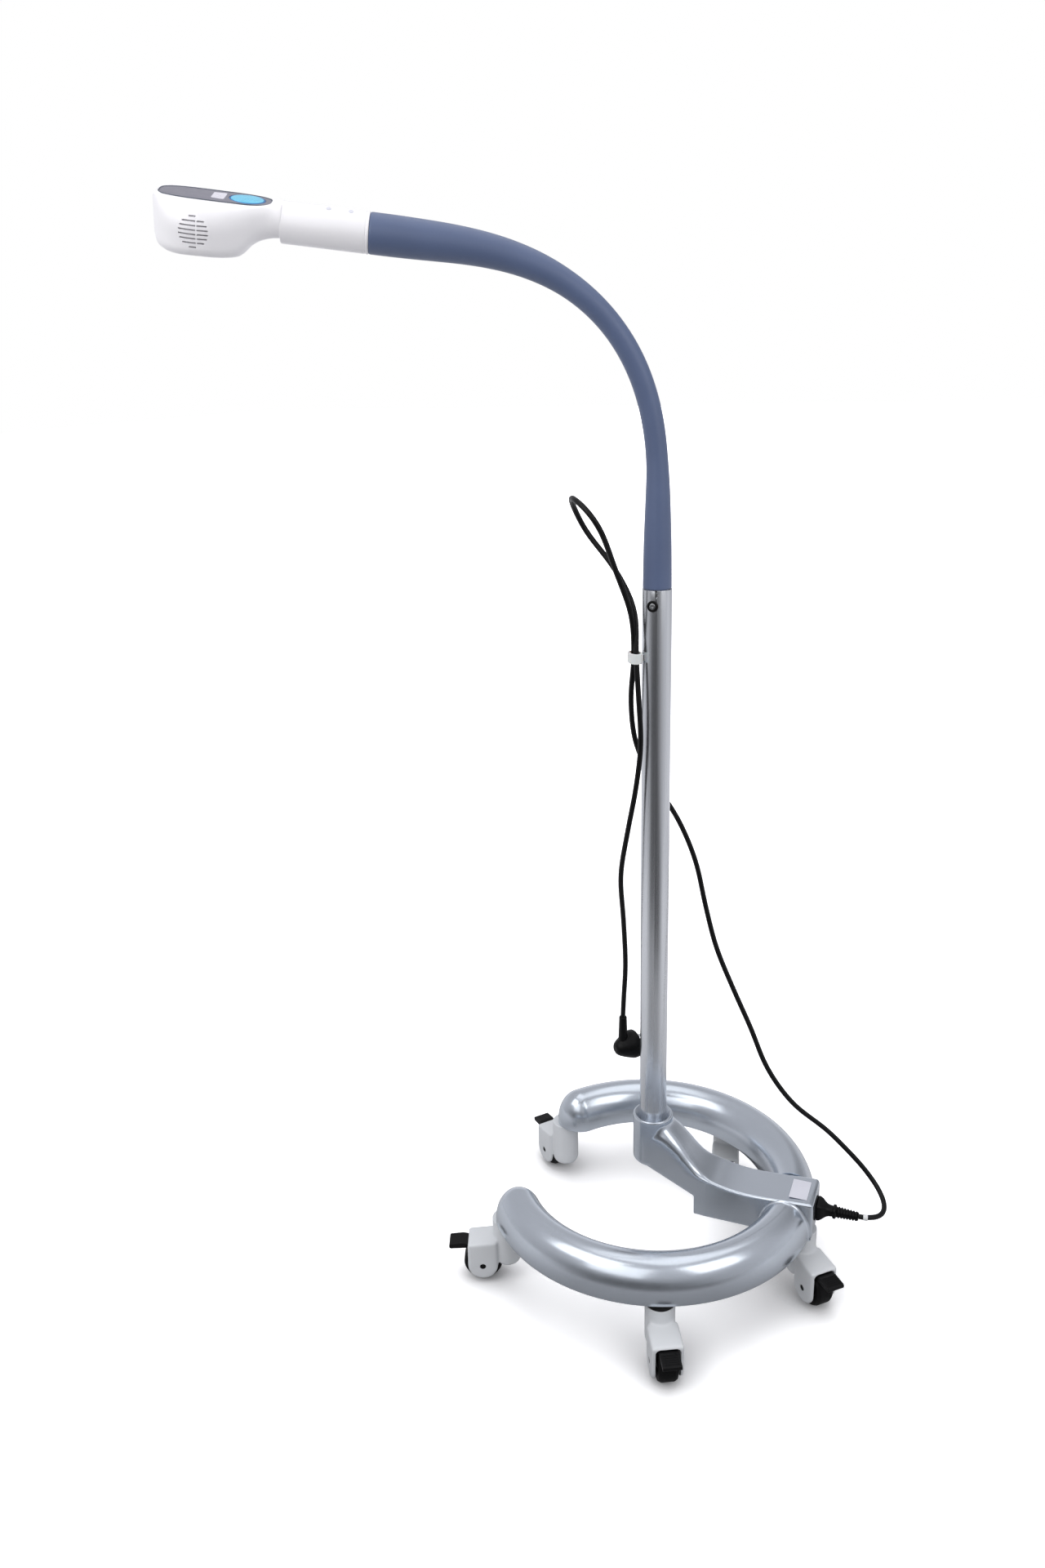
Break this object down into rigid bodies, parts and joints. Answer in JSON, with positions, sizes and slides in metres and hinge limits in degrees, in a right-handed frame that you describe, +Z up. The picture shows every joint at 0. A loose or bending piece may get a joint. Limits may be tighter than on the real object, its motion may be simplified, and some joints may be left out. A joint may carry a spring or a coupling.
{
  "type": "mobile examination lamp",
  "caption": "Examination lamp on a C-shaped silver caster base, with a round column, flexible gooseneck, white lamp head with a push button, and a mains lead.",
  "frame": {"origin": "on the floor, under the middle of the box around everything but the mains lead", "axes": "+Z up, +X along the base arm from the column towards the mains inlet"},
  "size_m": [0.7955, 0.4854, 1.3594],
  "materials": {
    "silver_paint": "satin silver paint",
    "satin_aluminium": "satin anodised",
    "bright_steel": "bright",
    "ballast_steel": "raw",
    "white_plastic": "satin gloss",
    "hood_plastic": "satin",
    "black_plastic": "matt",
    "tyre_rubber": "matt",
    "sleeve_rubber": "satin",
    "panel_grey": "satin",
    "button_blue": "gloss",
    "lens_clear": "clear",
    "board_white": "matt",
    "clip_nylon": "satin",
    "black_steel": "black",
    "cord_rubber": "satin"
  },
  "bodies": {
    "base": {"base_leg_front": "silver_paint", "base_leg_back": "silver_paint", "ballast_bar_front": "ballast_steel", "ballast_bar_back": "ballast_steel", "arm_housing": "silver_paint", "housing_cover": "ballast_steel", "power_supply": "black_plastic", "power_inlet": "black_plastic", "column": "satin_aluminium", "clamp_screw": "black_plastic", "gooseneck_ferrule": "bright_steel", "gooseneck_boot": "sleeve_rubber", "caster_1_stem": "black_steel", "caster_2_stem": "black_steel", "caster_3_stem": "black_steel", "caster_4_stem": "black_steel", "caster_5_stem": "black_steel", "mains_cord": "cord_rubber", "line_connector": "black_plastic", "mains_plug": "black_plastic", "cord_clip": "clip_nylon"},
    "neck_1": {"gooseneck_sleeve_1": "sleeve_rubber", "gooseneck_core_1": "bright_steel"},
    "neck_2": {"gooseneck_sleeve_2": "sleeve_rubber", "gooseneck_core_2": "bright_steel"},
    "neck_3": {"gooseneck_sleeve_3": "sleeve_rubber", "gooseneck_core_3": "bright_steel"},
    "neck_4": {"gooseneck_sleeve_4": "sleeve_rubber", "gooseneck_core_4": "bright_steel"},
    "head": {"gooseneck_tip": "sleeve_rubber", "neck_insert": "satin_aluminium", "neck_sleeve": "white_plastic", "head_shell": "white_plastic", "top_panel": "panel_grey", "heat_sink": "satin_aluminium", "led_board": "board_white", "reflector": "satin_aluminium", "lens": "lens_clear", "lens_bezel": "panel_grey"},
    "button": {"sensor_button": "button_blue"},
    "caster_1_fork": {"caster_1_hood": "hood_plastic", "caster_1_axle": "bright_steel"},
    "caster_1_roller": {"caster_1_wheel": "tyre_rubber"},
    "caster_1_brake": {"caster_1_pedal": "black_plastic"},
    "caster_2_fork": {"caster_2_hood": "hood_plastic", "caster_2_axle": "bright_steel"},
    "caster_2_roller": {"caster_2_wheel": "tyre_rubber"},
    "caster_2_brake": {"caster_2_pedal": "black_plastic"},
    "caster_3_fork": {"caster_3_hood": "hood_plastic", "caster_3_axle": "bright_steel"},
    "caster_3_roller": {"caster_3_wheel": "tyre_rubber"},
    "caster_3_brake": {"caster_3_pedal": "black_plastic"},
    "caster_4_fork": {"caster_4_hood": "hood_plastic", "caster_4_axle": "bright_steel"},
    "caster_4_roller": {"caster_4_wheel": "tyre_rubber"},
    "caster_4_brake": {"caster_4_pedal": "black_plastic"},
    "caster_5_fork": {"caster_5_hood": "hood_plastic", "caster_5_axle": "bright_steel"},
    "caster_5_roller": {"caster_5_wheel": "tyre_rubber"},
    "caster_5_brake": {"caster_5_pedal": "black_plastic"}
  },
  "joints": [
    {"name": "bend_1", "type": "hinge", "parent": "base", "child": "neck_1", "pos_m": [0.10991, 0.02164, 0.9685], "axis": [0.4099, -0.9121, 0], "range_deg": [-30, 30]},
    {"name": "bend_2", "type": "hinge", "parent": "neck_1", "child": "neck_2", "pos_m": [0.10618, 0.01996, 1.09433], "axis": [0.903, 0.4058, 0.1408], "range_deg": [-30, 30]},
    {"name": "bend_3", "type": "hinge", "parent": "neck_2", "child": "neck_3", "pos_m": [0.06301, 0.00056, 1.20941], "axis": [0.4099, -0.9121, 0], "range_deg": [-30, 30]},
    {"name": "bend_4", "type": "hinge", "parent": "neck_3", "child": "neck_4", "pos_m": [-0.03089, -0.04164, 1.27908], "axis": [0.2936, 0.1319, 0.9468], "range_deg": [-30, 30]},
    {"name": "bend_5", "type": "hinge", "parent": "neck_4", "child": "head", "pos_m": [-0.14443, -0.09266, 1.30316], "axis": [0.4099, -0.9121, 0], "range_deg": [-30, 30]},
    {"name": "button_press", "type": "slide", "parent": "head", "child": "button", "axis": [-0.2595, 0.2584, -0.9305], "range_m": [0, 0.0015], "stiffness_N_per_m": 900},
    {"name": "caster_1_swivel", "type": "hinge", "parent": "base", "child": "caster_1_fork", "pos_m": [0.31501, 0.01704, 0.082], "axis": [0, 0, 1], "continuous": true},
    {"name": "caster_1_roll", "type": "hinge", "parent": "caster_1_fork", "child": "caster_1_roller", "pos_m": [0.33793, -0.0067, 0.0257], "axis": [0.7193, 0.6947, 0], "continuous": true},
    {"name": "caster_1_pedal_press", "type": "hinge", "parent": "caster_1_fork", "child": "caster_1_brake", "pos_m": [0.34835, -0.01749, 0.0545], "axis": [0.7193, 0.6947, 0], "range_deg": [0, 12]},
    {"name": "caster_2_swivel", "type": "hinge", "parent": "base", "child": "caster_2_fork", "pos_m": [0.17391, -0.16786, 0.082], "axis": [0, 0, 1], "continuous": true},
    {"name": "caster_2_roll", "type": "hinge", "parent": "caster_2_fork", "child": "caster_2_roller", "pos_m": [0.18889, -0.19726, 0.0257], "axis": [0.891, 0.454, 0], "continuous": true},
    {"name": "caster_2_pedal_press", "type": "hinge", "parent": "caster_2_fork", "child": "caster_2_brake", "pos_m": [0.1957, -0.21063, 0.0545], "axis": [0.891, 0.454, 0], "range_deg": [0, 12]},
    {"name": "caster_3_swivel", "type": "hinge", "parent": "base", "child": "caster_3_fork", "pos_m": [-0.05949, -0.09536, 0.082], "axis": [0, 0, 1], "continuous": true},
    {"name": "caster_3_roll", "type": "hinge", "parent": "caster_3_fork", "child": "caster_3_roller", "pos_m": [-0.0903, -0.10719, 0.0257], "axis": [0.3584, -0.9336, 0], "continuous": true},
    {"name": "caster_3_pedal_press", "type": "hinge", "parent": "caster_3_fork", "child": "caster_3_brake", "pos_m": [-0.1043, -0.11256, 0.0545], "axis": [0.3584, -0.9336, 0], "range_deg": [0, 12]},
    {"name": "caster_4_swivel", "type": "hinge", "parent": "base", "child": "caster_4_fork", "pos_m": [-0.05949, 0.13864, 0.082], "axis": [0, 0, 1], "continuous": true},
    {"name": "caster_4_roll", "type": "hinge", "parent": "caster_4_fork", "child": "caster_4_roller", "pos_m": [-0.08477, 0.15985, 0.0257], "axis": [-0.6428, -0.766, 0], "continuous": true},
    {"name": "caster_4_pedal_press", "type": "hinge", "parent": "caster_4_fork", "child": "caster_4_brake", "pos_m": [-0.09626, 0.16949, 0.0545], "axis": [-0.6428, -0.766, 0], "range_deg": [0, 12]},
    {"name": "caster_5_swivel", "type": "hinge", "parent": "base", "child": "caster_5_fork", "pos_m": [0.16891, 0.21764, 0.082], "axis": [0, 0, 1], "continuous": true},
    {"name": "caster_5_roll", "type": "hinge", "parent": "caster_5_fork", "child": "caster_5_roller", "pos_m": [0.17577, 0.18536, 0.0257], "axis": [0.9781, 0.2079, 0], "continuous": true},
    {"name": "caster_5_pedal_press", "type": "hinge", "parent": "caster_5_fork", "child": "caster_5_brake", "pos_m": [0.17889, 0.17069, 0.0545], "axis": [0.9781, 0.2079, 0], "range_deg": [0, 12]}
  ]
}
